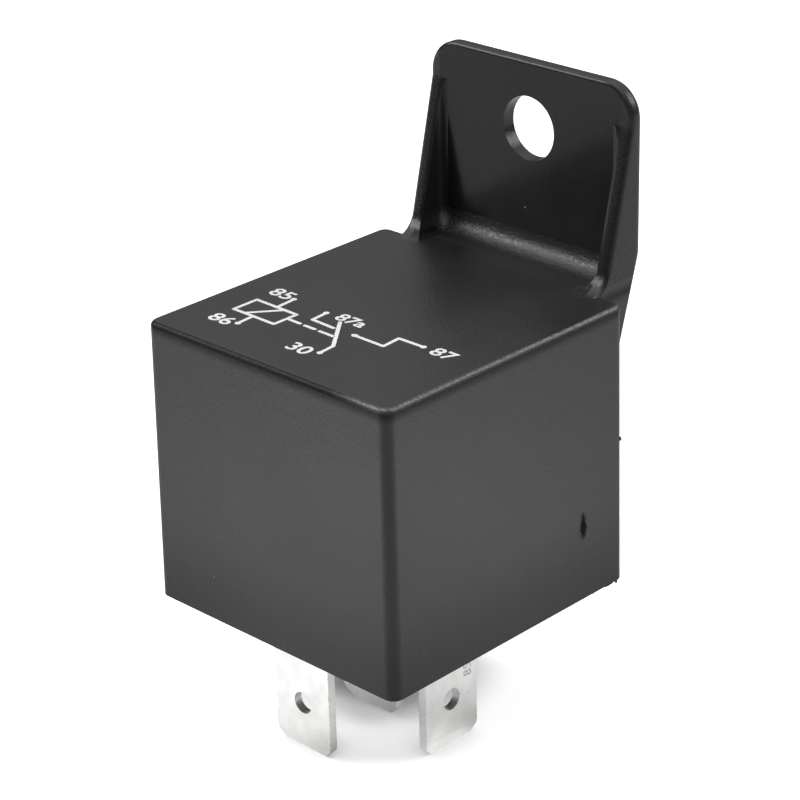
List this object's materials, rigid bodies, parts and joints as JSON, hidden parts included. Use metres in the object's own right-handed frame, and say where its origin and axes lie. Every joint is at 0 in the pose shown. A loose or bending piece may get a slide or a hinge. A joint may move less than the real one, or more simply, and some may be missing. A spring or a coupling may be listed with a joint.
{
  "type": "automotive relay",
  "caption": "Black plug-in changeover relay: cube cover with an upright bracket and screw hole at the back, and flat blades under its base.",
  "frame": {"origin": "centre of the base plate's underside, level with the cover's rim", "axes": "+Z away from the blades to the top of the cover, +Y towards the bracket, +X along the print on top, left to right"},
  "size_m": [0.028, 0.0335, 0.0539],
  "materials": {
    "cover_plastic": "satin",
    "base_plastic": "matte",
    "blade_metal": "tin-plated",
    "magnet_steel": "zinc-plated",
    "bobbin_plastic": "satin",
    "copper_wire": "enamelled",
    "solder_tin": "bright",
    "spring_bronze": "rolled",
    "rivet_steel": "bright",
    "contact_silver": "satin",
    "braid_copper": "braided"
  },
  "bodies": {
    "housing": {"cover": "cover_plastic", "base_plate": "base_plastic", "terminal_87": "blade_metal", "terminal_87a": "blade_metal", "terminal_85": "blade_metal", "terminal_86": "blade_metal", "terminal_30": "blade_metal", "yoke": "magnet_steel", "core": "magnet_steel", "bobbin": "bobbin_plastic", "coil_winding": "copper_wire", "solder_joints": "solder_tin", "yoke_rivets": "rivet_steel", "fixed_contact_open": "contact_silver", "fixed_contact_closed": "contact_silver", "contact_braid": "braid_copper"},
    "armature": {"armature": "magnet_steel", "armature_rivets": "rivet_steel", "moving_contact": "contact_silver", "contact_spring": "spring_bronze"}
  },
  "joints": [
    {"name": "armature_hinge", "type": "hinge", "parent": "housing", "child": "armature", "pos_m": [0, 0.011, 0.01732], "axis": [1, 0, 0], "range_deg": [0, 3], "stiffness_Nm_per_rad": 0.05, "springref_deg": -8.02, "deforming": ["contact_spring", "contact_braid"]}
  ]
}
